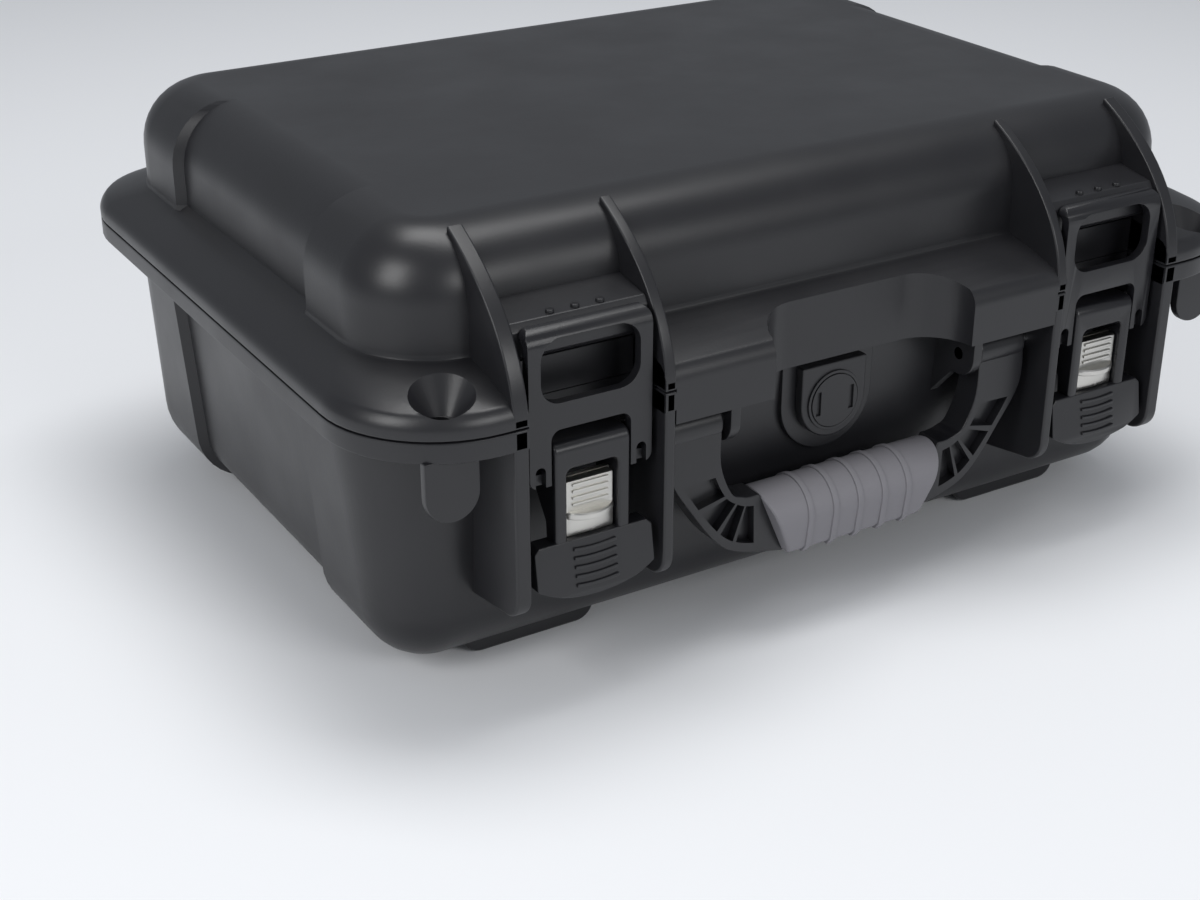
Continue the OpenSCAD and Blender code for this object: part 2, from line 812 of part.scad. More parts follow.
// ---- Pressure valve ----

module valve_body() {
  slot_x = disc_r - 1.5;
  color([0.06, 0.06, 0.065]) difference() {
    union() {
      along_y(boss_y - plate_t, boss_y) valve_outline(valve_r, base_top - 4);
      along_y(boss_y - 1, stem_end) translate([0, valve_z]) circle(r = stem_r);
    }
    // seat of the vent disc, and the vent through the stem
    along_y(boss_y - plate_t - 1, boss_y - plate_t + 1.8) translate([0, valve_z]) circle(r = disc_r + 0.3);
    along_y(boss_y - plate_t, stem_end + 1) translate([0, valve_z]) circle(r = stem_r - 2);
    // groove of the seal
    along_y(boss_y - 1.6, boss_y + 1) translate([0, valve_z]) difference() {
      circle(r = stem_r + 5);
      circle(r = stem_r + 2);
    }
  }
}

module valve_disc() {
  color([0.08, 0.08, 0.085]) along_y(boss_y - plate_t - 1, boss_y - plate_t + 1.7)
    translate([0, valve_z]) difference() {
      circle(r = disc_r);
      for (s = [-1, 1]) translate([s * disc_r * 0.72, 0]) square([2.2, disc_r * 0.9], center = true);
    }
}

module valve_seal() {
  color([0.1, 0.1, 0.1]) along_y(boss_y - 1.3, boss_y) translate([0, valve_z]) difference() {
    circle(r = stem_r + 4.7);
    circle(r = stem_r + 2.3);
  }
}

module valve_membrane() {
  color([0.9, 0.9, 0.88]) along_y(valve_in_y - 2, valve_in_y - 1.6)
    translate([0, valve_z]) circle(r = stem_r - 2 - 0.02);
}

module valve_nut() {
  across = stem_r + 4;
  color([0.3, 0.3, 0.3]) along_y(valve_in_y, valve_in_y + nut_t) translate([0, valve_z]) difference() {
    circle(r = across, $fn = 6);
    circle(r = stem_r + fit);
  }
}

// ---- Foam ----

// An upright round-cornered pocket in the foam, cut from z0 upwards
module pocket(x0, x1, y0, y1, r, z0) {
  translate([(x0 + x1) / 2, 0, 0]) slab((x1 - x0) / 2, y0, y1, r, z0, foam_top + 1);
}

module base_foam() {
  x = cavity_x - soft_gap;
  y = cavity_y - soft_gap;
  left = -cavity_x + web;
  back = cavity_y - web;
  cell_step = cell_w + web;
  color([0.13, 0.13, 0.14]) difference() {
    union() {
      tub(x, y, base_r - wall - soft_gap, bottom_r - wall, foam_z, base_top - 1);
      slab(x, -y, y, base_r - wall - soft_gap, base_top - eps, foam_top);
    }
    // folded drone, with finger room at both ends
    pocket(left, left + drone_w, back - drone_d, back, 22, pocket_z);
    for (s = [-1, 1]) translate([left + drone_w / 2 + s * drone_w * 0.3, back - drone_d, pocket_z + 12])
      cylinder(r = 13, h = far + far);
    // remote controller
    pocket(left, left + control_w, -cavity_y + web, -cavity_y + web + control_d, 16, pocket_z + 14);
    // batteries
    for (i = [0:2]) {
      x0 = cavity_x - web - cell_w - i * cell_step;
      pocket(x0, x0 + cell_w, -cavity_y + web, -cavity_y + web + cell_d, 8, pocket_z);
    }
    // charger and spare propellers
    pocket(left + drone_w + web, cavity_x - web, back - drone_d, back, 12, pocket_z + 6);
    // room for the valve's nut
    along_y(-cavity_y - 2, stem_end + 4) valve_outline(pad_r + 2, foam_top + 1);
  }
}

module lid_foam() {
  x = hollow_x - soft_gap;
  y = hollow_y - soft_gap;
  color([0.13, 0.13, 0.14])
    dome(x, y, dome_r - wall - soft_gap, crown_r - wall, hollow_top - lid_foam_t, hollow_top - soft_gap);
}

base_shell();
base_foam();
lid_shell();
at_left() latch_bracket();  // left_latch_bracket
at_right() latch_bracket();  // right_latch_bracket
lid_foam();
lid_gasket();
mirror([1, 0, 0]) hinge_pin();  // left_hinge_pin
hinge_pin();  // right_hinge_pin
at_left() lever();  // left_latch_lever
at_left() claw();  // left_latch_claw
at_left() slide_lock();  // left_slide_lock
at_left() lever_pin();  // left_lever_pin
at_left() claw_pin();  // left_claw_pin
at_right() lever();  // right_latch_lever
at_right() claw();  // right_latch_claw
at_right() slide_lock();  // right_slide_lock
at_right() lever_pin();  // right_lever_pin
at_right() claw_pin();  // right_claw_pin
handle_frame();
handle_grip();
mirror([1, 0, 0]) handle_pin();  // left_handle_pin
handle_pin();  // right_handle_pin
valve_body();
valve_disc();
valve_seal();
valve_membrane();
valve_nut();
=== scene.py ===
# %% [markdown]
# # A hard case for a folding drone
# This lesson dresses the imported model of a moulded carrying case. The frame gives the size and place of
# every part; here each part that shows gets its real roundings, ribs, grooves and finish. The case lies
# with its feet on z = 0, its front towards -y, and all lengths are in metres.

import math

import bmesh
import bpy
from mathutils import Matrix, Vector


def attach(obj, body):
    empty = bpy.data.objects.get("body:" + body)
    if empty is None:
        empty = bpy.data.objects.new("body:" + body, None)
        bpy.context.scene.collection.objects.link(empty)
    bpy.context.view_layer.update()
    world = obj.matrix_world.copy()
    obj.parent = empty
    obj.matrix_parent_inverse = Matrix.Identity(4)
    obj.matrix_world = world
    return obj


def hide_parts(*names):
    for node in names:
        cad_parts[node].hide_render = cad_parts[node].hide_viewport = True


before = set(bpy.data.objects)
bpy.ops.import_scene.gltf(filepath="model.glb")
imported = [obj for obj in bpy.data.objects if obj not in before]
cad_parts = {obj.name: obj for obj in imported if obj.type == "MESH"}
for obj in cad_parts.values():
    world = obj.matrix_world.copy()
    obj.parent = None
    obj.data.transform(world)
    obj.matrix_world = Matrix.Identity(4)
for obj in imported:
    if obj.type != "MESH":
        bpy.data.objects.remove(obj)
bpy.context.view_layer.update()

# %% [markdown]
# The camera comes first, because it decides what shows. It stands before the front left corner and
# above the lid, looking down on the latch and the handle. The lens is a mild telephoto, so the case keeps
# its shape.

# %% The camera
MM = 0.001
CAMERA_PLACE = (-0.436, -0.684, 0.400)
LENS, SENSOR = 58.245, 36.0
LOOK_DOWN, LOOK_RIGHT = 26.05, 31.15


def aim_camera():
    data = bpy.data.cameras.new("case_camera")
    data.lens = LENS
    data.sensor_width = SENSOR
    data.clip_start = 0.01
    camera = bpy.data.objects.new("case_camera", data)
    bpy.context.scene.collection.objects.link(camera)
    camera.location = CAMERA_PLACE
    camera.rotation_euler = (math.radians(90 - LOOK_DOWN), 0, math.radians(-LOOK_RIGHT))
    bpy.context.scene.camera = camera


aim_camera()
bpy.context.scene.view_settings.view_transform = "Standard"

# %% [markdown]
# Black plastic is shown by what it mirrors, so the three lamps are large and soft. The one on top shapes
# the crown, the one on the left draws highlights on the rounded edges, and the one in front fills the
# latch and the handle. The world is white to the camera and a dim blue grey to everything else.

# %% Lamps and background
def soft_lamp(name, place, target, size, power):
    data = bpy.data.lights.new(name, "AREA")
    data.shape = "RECTANGLE"
    data.size, data.size_y = size
    data.energy = power
    lamp = bpy.data.objects.new(name, data)
    bpy.context.scene.collection.objects.link(lamp)
    lamp.location = place
    lamp.rotation_euler = (Vector(target) - Vector(place)).to_track_quat("-Z", "Y").to_euler()
    return lamp


MIDDLE = (0, 0, 0.09)
soft_lamp("top_lamp", (0.1, 0.1, 1.6), MIDDLE, (1.2, 0.7), 14)
soft_lamp("left_lamp", (-1.5, -0.5, 1.0), MIDDLE, (0.7, 0.9), 12)
soft_lamp("front_lamp", (0.3, -1.8, 0.9), MIDDLE, (1.0, 0.6), 10)


def pale_world():
    world = bpy.data.worlds.new("studio")
    world.use_nodes = True
    bpy.context.scene.world = world
    nodes, links = world.node_tree.nodes, world.node_tree.links
    nodes.clear()
    out = nodes.new("ShaderNodeOutputWorld")
    mix = nodes.new("ShaderNodeMixShader")
    path = nodes.new("ShaderNodeLightPath")
    seen = nodes.new("ShaderNodeBackground")
    lit = nodes.new("ShaderNodeBackground")
    seen.inputs["Color"].default_value = (1, 1, 1, 1)
    seen.inputs["Strength"].default_value = 1.0
    lit.inputs["Color"].default_value = (0.8, 0.84, 0.9, 1)
    lit.inputs["Strength"].default_value = 0.35
    links.new(path.outputs["Is Camera Ray"], mix.inputs[0])
    links.new(lit.outputs[0], mix.inputs[1])
    links.new(seen.outputs[0], mix.inputs[2])
    links.new(mix.outputs[0], out.inputs["Surface"])


pale_world()

# %% [markdown]
# Most pieces start the same way: one flat face is drawn, then extruded ring by ring or in one go.
# These helpers do what a hand would do with the tools in edit mode. Because an operator works on all that
# is selected, each helper first clears the selection and then picks what it needs.

# %% Helpers for selecting
def pick_only(piece):
    bpy.ops.object.select_all(action="DESELECT")
    piece.select_set(True)
    bpy.context.view_layer.objects.active = piece


def flat_face(name, points):
    """A single face through the points, in millimetres, from a circle primitive with as many corners."""
    bpy.ops.object.select_all(action="DESELECT")
    bpy.ops.mesh.primitive_circle_add(vertices=len(points), radius=1, fill_type="NGON")
    piece = bpy.context.object
    piece.name = piece.data.name = name
    for vertex, point in zip(piece.data.vertices, points):
        vertex.co = Vector(point) * MM
    return piece


def face_out(piece):
    """Faces point outwards: the normals of a closed piece are worked out afresh."""
    pick_only(piece)
    bpy.ops.object.mode_set(mode="EDIT")
    bpy.ops.mesh.select_all(action="SELECT")
    bpy.ops.mesh.remove_doubles(threshold=1e-6)
    bpy.ops.mesh.normals_make_consistent(inside=False)
    bpy.ops.object.mode_set(mode="OBJECT")
    return piece


# %% [markdown]
# A shell is a stack of rings. The first ring is a face, and each further ring is an extrusion of that face
# whose corners are then moved to their new place. What remains of the face closes the piece at the end.

# %% Stacked rings
def spot_key(place):
    return tuple(round(c, 6) for c in place)


def grow_rings(name, rings):
    piece = flat_face(name, rings[0])
    pick_only(piece)
    bpy.ops.object.mode_set(mode="EDIT")
    bpy.ops.mesh.select_all(action="SELECT")
    for before, after in zip(rings, rings[1:]):
        bpy.ops.mesh.extrude_region_move(TRANSFORM_OT_translate={"value": (0, 0, 0)})
        mesh = bmesh.from_edit_mesh(piece.data)
        spot = {spot_key(Vector(old) * MM): Vector(new) * MM for old, new in zip(before, after)}
        for vertex in (v for v in mesh.verts if v.select):
            vertex.co = spot[spot_key(vertex.co)]
        bmesh.update_edit_mesh(piece.data)
    bpy.ops.object.mode_set(mode="OBJECT")
    return face_out(piece)


# %% [markdown]
# Ribs, plates and levers are outlines with a thickness. The outline is drawn in the plane it is best seen
# in, extruded, and its sharp edges get a small round, because moulded plastic never has a knife edge and
# the round is what catches the light.

# %% Extruded outlines
def to_space(plane, u, v, w):
    return {"yz": (w, u, v), "xz": (u, w, v), "xy": (u, v, w)}[plane]


def extruded(name, plane, outline, low, high):
    piece = flat_face(name, [to_space(plane, u, v, low) for u, v in outline])
    pick_only(piece)
    bpy.ops.object.mode_set(mode="EDIT")
    bpy.ops.mesh.select_all(action="SELECT")
    way = Vector(to_space(plane, 0, 0, high - low)) * MM
    bpy.ops.mesh.extrude_region_move(TRANSFORM_OT_translate={"value": way})
    bpy.ops.object.mode_set(mode="OBJECT")
    return face_out(piece)


def round_edges(piece, width, segments=2, angle=40):
    """Rounds every edge sharper than angle by width millimetres, with the Bevel modifier applied."""
    pick_only(piece)
    bevel = piece.modifiers.new("edges", "BEVEL")
    bevel.width, bevel.segments, bevel.limit_method = width * MM, segments, "ANGLE"
    bevel.angle_limit = math.radians(angle)
    bevel.harden_normals = False
    bpy.ops.object.modifier_apply(modifier=bevel.name)
    return piece


def boolean(piece, other, what):
    pick_only(piece)
    step = piece.modifiers.new("cut", "BOOLEAN")
    step.operation, step.object, step.solver = what, other, "EXACT"
    bpy.ops.object.modifier_apply(modifier=step.name)
    bpy.data.objects.remove(other)
    return piece


def carve(piece, cutter):
    return boolean(piece, cutter, "DIFFERENCE")


def fuse(piece, *others):
    for other in others:
        boolean(piece, other, "UNION")
    return piece


def smooth_skin(piece, angle=32):
    """Smooth shading with flat faces kept flat between their rounded edges."""
    pick_only(piece)
    bpy.ops.object.shade_smooth_by_angle(angle=math.radians(angle))
    weigh = piece.modifiers.new("weigh", "WEIGHTED_NORMAL")
    weigh.keep_sharp = True
    bpy.ops.object.modifier_apply(modifier=weigh.name)
    return piece


def arc(cu, cv, radius, start, end, steps=8):
    angles = [math.radians(start + (end - start) * i / steps) for i in range(steps + 1)]
    return [(cu + radius * math.cos(a), cv + radius * math.sin(a)) for a in angles]


def bow(a, b, c, steps=14):
    """A smooth bow from a to c that leans towards b."""
    shares = [i / steps for i in range(steps + 1)]
    return [tuple((1 - t) ** 2 * p + 2 * t * (1 - t) * q + t * t * r for p, q, r in zip(a, b, c))
            for t in shares]


def mirrored_copy(piece, name):
    """A copy on the other side of the middle plane, with its own mesh."""
    pick_only(piece)
    bpy.ops.object.duplicate()
    twin = bpy.context.object
    twin.name = twin.data.name = name
    bpy.ops.transform.resize(value=(-1, 1, 1), center_override=(0, 0, 0))
    bpy.ops.object.transform_apply(location=True, rotation=True, scale=True)
    return face_out(twin)


# %% [markdown]
# ## Finishes
# Each finish is a small shader with its constants typed on the sockets. Moulded plastic has a faint grain
# and uneven gloss from handling, so one noise changes the roughness and a fine one lifts the surface.

# %% Finishes
def finish_of(name, colour, roughness, metallic=0.0, grain=0.0, grain_scale=900.0, wear=0.0):
    """Base colour as linear RGB, a roughness that varies by wear, and a fine bump."""
    paint = bpy.data.materials.new(name)
    paint.use_nodes = True
    nodes, links = paint.node_tree.nodes, paint.node_tree.links
    shader = nodes["Principled BSDF"]
    shader.inputs["Base Color"].default_value = (*colour, 1)
    shader.inputs["Roughness"].default_value = roughness
    shader.inputs["Metallic"].default_value = metallic
    place = nodes.new("ShaderNodeTexCoord")
    if wear:
        cloud = nodes.new("ShaderNodeTexNoise")
        cloud.inputs["Scale"].default_value = 22
        cloud.inputs["Detail"].default_value = 5
        span = nodes.new("ShaderNodeMapRange")
        span.inputs["From Min"].default_value = 0.3
        span.inputs["From Max"].default_value = 0.7
        span.inputs["To Min"].default_value = roughness - wear
        span.inputs["To Max"].default_value = roughness + wear
        links.new(place.outputs["Object"], cloud.inputs["Vector"])
        links.new(cloud.outputs["Fac"], span.inputs["Value"])
        links.new(span.outputs["Result"], shader.inputs["Roughness"])
    if grain:
        fine = nodes.new("ShaderNodeTexNoise")
        fine.inputs["Scale"].default_value = grain_scale
        fine.inputs["Detail"].default_value = 2
        bump = nodes.new("ShaderNodeBump")
        bump.inputs["Strength"].default_value = grain
        bump.inputs["Distance"].default_value = 0.0002
        links.new(place.outputs["Object"], fine.inputs["Vector"])
        links.new(fine.outputs["Fac"], bump.inputs["Height"])
        links.new(bump.outputs["Normal"], shader.inputs["Normal"])
    return paint


SHELL = finish_of("satin_black_plastic", (0.012, 0.012, 0.014), 0.36, grain=0.12, wear=0.05)
LATCH = finish_of("black_latch_plastic", (0.010, 0.010, 0.012), 0.30, grain=0.08, wear=0.04)
HANDLE = finish_of("black_handle_plastic", (0.010, 0.010, 0.012), 0.33, grain=0.08, wear=0.04)
VALVE = finish_of("matt_black_plastic", (0.014, 0.014, 0.016), 0.42, grain=0.1)
GRIP = finish_of("soft_grey_rubber", (0.18, 0.175, 0.19), 0.62, grain=0.25, grain_scale=1500, wear=0.05)
SEAL = finish_of("dark_seal_rubber", (0.016, 0.016, 0.016), 0.7)
ZINC = finish_of("satin_zinc", (0.56, 0.55, 0.52), 0.34, metallic=1.0, grain=0.05, wear=0.06)
STEEL = finish_of("bright_pin_steel", (0.62, 0.62, 0.63), 0.22, metallic=1.0)
FILM = finish_of("vent_film", (0.8, 0.8, 0.78), 0.8)
FOAM = finish_of("charcoal_foam", (0.022, 0.022, 0.025), 0.95, grain=1.0, grain_scale=700)
FLOOR = finish_of("pale_table", (0.86, 0.87, 0.89), 0.6)


def dress(piece, paint, slot, body, *nodes):
    """Gives the piece its finish and the body that carries it, and hides the nodes it stands for. The slot is
    not used.
    """
    piece.data.materials.clear()
    piece.data.materials.append(paint)
    if nodes:
        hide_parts(*nodes)
    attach(piece, body)
    print(piece.name, "faces", len(piece.data.polygons), "rides on", body)
    return piece

# %% [markdown]
# ## The base shell
# On the real case the base is one injection-moulded tub. Its walls lean out a little on their way up, so
# that it leaves the mould, and the middle of each end wall lies deeper than the corner columns. A stack of
# rings gives all of that at once: each ring is one height of the tub, from the flat bottom up over the rim
# and down again into the hollow. Sizes from here on are in millimetres, from the same plan as the solids.

# %% Sizes of the shells
RIM_X, FRONT, BACK, RIM_R = 206, -164, 156, 46
SEAM, LID_LOW, TOP = 118, 118.4, 178
AXIS_Y, HINGE_X, HINGE_HALF, KNUCKLE_R = 158, 112, 35, 6
LID_KNUCKLE, BASE_KNUCKLE = 11.6, 12.1
BASE_X, BASE_Y, BASE_R, BASE_TOP = 194, 134, 40, 104
LOW_X, LOW_Y, BOTTOM_R, FOOT_H = 189, 129, 26, 5
DOME_X, DOME_Y, DOME_R, CROWN_R, VALLEY = 188, 133, 36, 26, 134
CAVITY_X, CAVITY_Y, FLOOR_Z = 186, 130, 11
PANEL_IN, PANEL_HALF = 4, 65
PANEL_STOPS = (-PANEL_HALF - 2.5, -PANEL_HALF, PANEL_HALF, PANEL_HALF + 2.5)
LATCH_X, BAY, BAY_BACK = 122, 27.5, -142
RIB_OUT, RIB_IN = 6, 4.5
SKIRT_LOW, SKIRT_T, SKIRT_HALF = 105, 4.5, 90
RECESS_HALF, RECESS_IN = 47, 20
FOOT_IN, FOOT_OUT = 58, 112
PIVOT_Y, PIVOT_Z, VALVE_Z = -147, 94, 84
PADLOCK_X, PADLOCK_Y, PADLOCK_R, TAB_R = 176, -149, 4, 10.5


def ring(x, y0, y1, radius, z, push=0.0, lift=0.0, steps=14):
    """One height of a shell: a round-cornered rectangle of half width x. The middle of both end walls is
    pushed in by push and raised by lift."""
    points = []

    def corner(cx, cy, start):
        points.extend((px, py, z) for px, py in arc(cx, cy, radius, start, start + 90, steps))

    def end_wall(side, stops):
        for y in stops:
            deep = abs(y) <= PANEL_HALF
            points.append((side * (x - push * deep), y, z + lift * deep))

    corner(x - radius, y1 - radius, 0)
    corner(-x + radius, y1 - radius, 90)
    end_wall(-1, reversed(PANEL_STOPS))
    corner(-x + radius, y0 + radius, 180)
    corner(x - radius, y0 + radius, 270)
    end_wall(1, PANEL_STOPS)
    return points


def between(a, b, t):
    return a + (b - a) * t


# %% [markdown]
# The rings of the base, in the order of the extrusion: bottom, rounded bottom edge, leaning wall with its
# panels, flare, rim, and then the inside.

# %% The base tub
def wall_ring(z, push=PANEL_IN):
    t = (z - FOOT_H - BOTTOM_R) / (BASE_TOP - FOOT_H - BOTTOM_R)
    return ring(between(LOW_X, BASE_X, t), -between(LOW_Y, BASE_Y, t), between(LOW_Y, BASE_Y, t),
                between(BOTTOM_R, BASE_R, t), z, push)


def base_rim_ring(inset, z):
    return ring(RIM_X - inset, FRONT + inset, BACK - inset, RIM_R - inset, z)


def outer_base_rings():
    rings = []
    for i in range(10):
        angle = math.radians(-89 + 89 * i / 9)
        out, up = math.cos(angle), math.sin(angle)
        rings.append(ring(LOW_X - BOTTOM_R * (1 - out), -LOW_Y + BOTTOM_R * (1 - out),
                          LOW_Y - BOTTOM_R * (1 - out), BOTTOM_R * out, FOOT_H + BOTTOM_R * (1 + up),
                          push=PANEL_IN * out, lift=-1 - PANEL_IN * up))
    rings += [wall_ring(BASE_TOP - 9), wall_ring(BASE_TOP - 6, push=1), wall_ring(BASE_TOP - 5, push=0)]
    rings += [ring(BASE_X, -BASE_Y, BASE_Y, BASE_R, BASE_TOP),
              ring(BASE_X + 1.5, -BASE_Y - 1, BASE_Y + 1, BASE_R + 1, BASE_TOP + 1.2),
              ring(RIM_X - 1, -BASE_Y - 8, BASE_Y + 8, RIM_R, SEAM - 8)]
    rings += [base_rim_ring(0.8, SEAM - 8), base_rim_ring(0.2, SEAM - 7.6), base_rim_ring(0, SEAM - 7),
              base_rim_ring(0, SEAM - 0.9), base_rim_ring(0.25, SEAM - 0.25), base_rim_ring(0.9, SEAM)]
    return rings


def inner_base_rings():
    tongue = [ring(191.5, -137.5, 137.5, 42, z) for z in (SEAM, SEAM + 1.2)]
    tongue += [ring(189.5, -135.5, 135.5, 40, z) for z in (SEAM + 1.2, SEAM)]
    inside = [ring(CAVITY_X + 1, -CAVITY_Y - 1, CAVITY_Y + 1, 37, SEAM),
              ring(CAVITY_X, -CAVITY_Y, CAVITY_Y, 36, SEAM - 1),
              ring(CAVITY_X, -CAVITY_Y, CAVITY_Y, 36, BASE_TOP),
              ring(CAVITY_X - 5, -CAVITY_Y + 5, CAVITY_Y - 5, 22, FLOOR_Z + 22),
              ring(CAVITY_X - 27, -CAVITY_Y + 27, CAVITY_Y - 27, 1, FLOOR_Z)]
    return tongue + inside


base = grow_rings("base_shell_moulded", outer_base_rings() + inner_base_rings())
print("base tub", len(base.data.polygons), "faces")

# %% [markdown]
# The rim is one shelf right round, so the places where it is cut away come next: the two latch bays, the
# strip behind the lid's skirt, and the notches where the lid's hinge knuckles turn. Each cut is a Boolean
# with an extruded outline, because the real tool has a solid core in the same place.

# %% Cuts in the base rim
def skirt_outline(grow):
    """Seen from above: all that lies in front of the skirt's outer face, grown back by grow."""
    middle, radius = RECESS_HALF - RECESS_IN, RECESS_IN + grow
    reach = FRONT - 60
    start = math.degrees(math.asin(grow / radius))
    right = arc(middle, FRONT, radius, start, 90, 12)
    left = [(-x, y) for x, y in reversed(right)]
    shelf = FRONT + grow
    ends = [(-SKIRT_HALF, reach), (SKIRT_HALF, reach), (SKIRT_HALF, shelf)]
    return ends + right + left + [(-SKIRT_HALF, shelf)]


def block(name, x0, x1, y0, y1, z0, z1):
    return extruded(name, "xy", [(x0, y0), (x1, y0), (x1, y1), (x0, y1)], z0, z1)


for side in (-1, 1):
    middle = side * LATCH_X
    carve(base, block("cut", middle - BAY, middle + BAY, FRONT - 20, BAY_BACK, SEAM - 30, SEAM + 20))
    hinge = side * HINGE_X
    carve(base, block("cut", hinge - BASE_KNUCKLE, hinge + BASE_KNUCKLE, AXIS_Y - 7, AXIS_Y + 20,
                      SEAM - 20, SEAM + 20))
carve(base, extruded("cut", "xy", skirt_outline(SKIRT_T + 0.8), SEAM - 30, SEAM + 20))

# %% [markdown]
# The ribs beside the latches, the feet, the fins that carry the handle, the padlock tabs and the valve's
# pad all grow out of the tub. Each is an outline with its own small rounds, and they are joined to the tub
# as one moulding. What sits on the left also sits mirrored on the right.

# %% Ribs, feet and fins of the base
def base_rib(x0, x1):
    low = 42
    outline = [(-BASE_Y + 4, SEAM), (FRONT, SEAM)] + arc(FRONT + 10, low + 10, 10, 180, 270, 10)
    outline += [(-BASE_Y + 6, low - 4)]
    return round_edges(extruded("rib", "yz", outline, x0, x1), 1.0, segments=3)


def foot(y0, y1):
    half, radius = (2 * BAY + 3) / 2, 8
    outline = arc(-half + radius, radius, radius, 180, 270) + arc(half - radius, radius, radius, 270, 360)
    outline += [(half, radius + BOTTOM_R), (-half, radius + BOTTOM_R)]
    outline = [(x - LATCH_X, z) for x, z in outline]
    return round_edges(extruded("foot", "xz", outline, y0, y1), 1.5, segments=3)


def handle_fin():
    outline = [(-BASE_Y + 2, SEAM - 7), (-156, SEAM - 7)] + arc(PIVOT_Y, PIVOT_Z, 9, 180, 290, 12)
    outline += [(-BASE_Y + 4, 70)]
    return round_edges(extruded("fin", "yz", outline, -60.5, -56), 0.6)


def padlock_tab():
    outline = arc(-PADLOCK_X, 97, TAB_R, 180, 360, 20)
    outline += [(-PADLOCK_X + TAB_R, SEAM - 7), (-PADLOCK_X - TAB_R, SEAM - 7)]
    return round_edges(extruded("tab", "xz", outline, FRONT + 6, FRONT + 10), 0.8)


def valve_outline(radius, top, steps=28):
    return arc(0, VALVE_Z, radius, 180, 360, steps) + [(radius, top), (-radius, top)]


def knuckle(x0, x1, bracket):
    outline = arc(AXIS_Y, SEAM, KNUCKLE_R, 0, 350, 28)
    barrel = round_edges(extruded("barrel", "yz", outline, x0, x1), 0.4)
    arm = round_edges(extruded("bracket", "yz", bracket, x0, x1), 0.6)
    return [barrel, arm]


BASE_BRACKET = [(BACK - 6, SEAM), (AXIS_Y + 6, SEAM), (AXIS_Y + 4, SEAM - 6), (DOME_Y, SEAM - 26),
                (DOME_Y - 2, SEAM - 8)]


def join_all(piece, parts):
    pick_only(piece)
    for part in parts:
        part.select_set(True)
    bpy.ops.object.join()
    return piece


def with_twins(parts):
    return parts + [mirrored_copy(part, part.name + "_twin") for part in parts]


left_parts = [base_rib(-LATCH_X - BAY - RIB_OUT, -LATCH_X - BAY),
              base_rib(-LATCH_X + BAY, -LATCH_X + BAY + RIB_IN),
              foot(-FOOT_OUT, -FOOT_IN), foot(FOOT_IN, FOOT_OUT), handle_fin(), padlock_tab()]
left_parts += knuckle(-HINGE_X - HINGE_HALF, -HINGE_X - BASE_KNUCKLE, BASE_BRACKET)
left_parts += knuckle(-HINGE_X + BASE_KNUCKLE, -HINGE_X + HINGE_HALF, BASE_BRACKET)
pad = round_edges(extruded("pad", "xz", valve_outline(22, SEAM - 7), -BASE_Y - 1, -CAVITY_Y - 1), 0.6)
join_all(base, with_twins(left_parts) + [pad])
print("base with its ribs", len(base.data.polygons), "faces")

# %% [markdown]
# ## The lid shell
# The lid is a second moulding: a dome with a wide sloping rim. Its stack of rings starts at the ceiling of
# the hollow, comes down the inside wall, goes over the groove for the seal, round the rim's edge, up the
# slope to the foot of the dome, and closes over the crown.

# %% The lid dome
HOLLOW_X, HOLLOW_Y, HOLLOW_R, HOLLOW_TOP = 180, 129, 32, 173
CROWN_STEPS = 10


def dome_ring(x, y, corner_r, edge_r, top, angle):
    """One ring of a dome's rounded edge: angle 0 is the upright wall and 90 the flat top."""
    back = edge_r * (1 - math.cos(math.radians(angle)))
    z = top - edge_r * (1 - math.sin(math.radians(angle)))
    return x - back, y - back, corner_r - back, z


def lid_rim_ring(inset, z):
    return ring(RIM_X - inset, FRONT + inset, BACK - inset, RIM_R - inset, z)


def slope_ring(t, z):
    """From the shoulder of the rim, t = 0, to the foot of the dome, t = 1."""
    foot_x, foot_y, foot_r = DOME_X + 2, DOME_Y + 2, DOME_R + 2
    return ring(between(RIM_X - 3.5, foot_x, t), between(FRONT + 3.5, -foot_y, t),
                between(BACK - 3.5, foot_y, t), between(RIM_R - 3.5, foot_r, t), z)


def inner_lid_rings():
    rings = []
    for i in range(CROWN_STEPS + 1):
        angle = 90 - 90 * i / CROWN_STEPS
        x, y, corner_r, z = dome_ring(HOLLOW_X, HOLLOW_Y, HOLLOW_R, 22, HOLLOW_TOP, angle)
        rings.append(ring(x, -y, y, corner_r, z))
    rings += [ring(HOLLOW_X, -HOLLOW_Y, HOLLOW_Y, HOLLOW_R, LID_LOW + 1),
              ring(HOLLOW_X + 1, -HOLLOW_Y - 1, HOLLOW_Y + 1, HOLLOW_R + 1, LID_LOW)]
    rings += [ring(188.2, -134.2, 134.2, 38.7, z) for z in (LID_LOW, 122.5)]
    rings += [ring(192.8, -138.8, 138.8, 43.3, z) for z in (122.5, LID_LOW)]
    return rings


def outer_lid_rings():
    rings = [lid_rim_ring(*spot) for spot in ((0.9, LID_LOW), (0.25, LID_LOW + 0.25), (0, LID_LOW + 0.9),
             (0, 121.6), (0.3, 123.2), (1.1, 124.9), (2.2, 126.4))]
    rings += [slope_ring(t, between(127.6, VALLEY, t) + 0.5 * math.sin(math.pi * t))
              for t in (0, 0.25, 0.5, 0.75, 1)]
    rings += [ring(DOME_X + 0.7, -DOME_Y - 0.7, DOME_Y + 0.7, DOME_R + 0.7, VALLEY + 0.6, push=1),
              ring(DOME_X, -DOME_Y, DOME_Y, DOME_R, VALLEY + 2.4, push=PANEL_IN)]
    for i in range(CROWN_STEPS + 1):
        x, y, corner_r, z = dome_ring(DOME_X, DOME_Y, DOME_R, CROWN_R, TOP, 90 * i / CROWN_STEPS)
        rings.append(ring(x, -y, y, corner_r, z, push=PANEL_IN))
    return rings


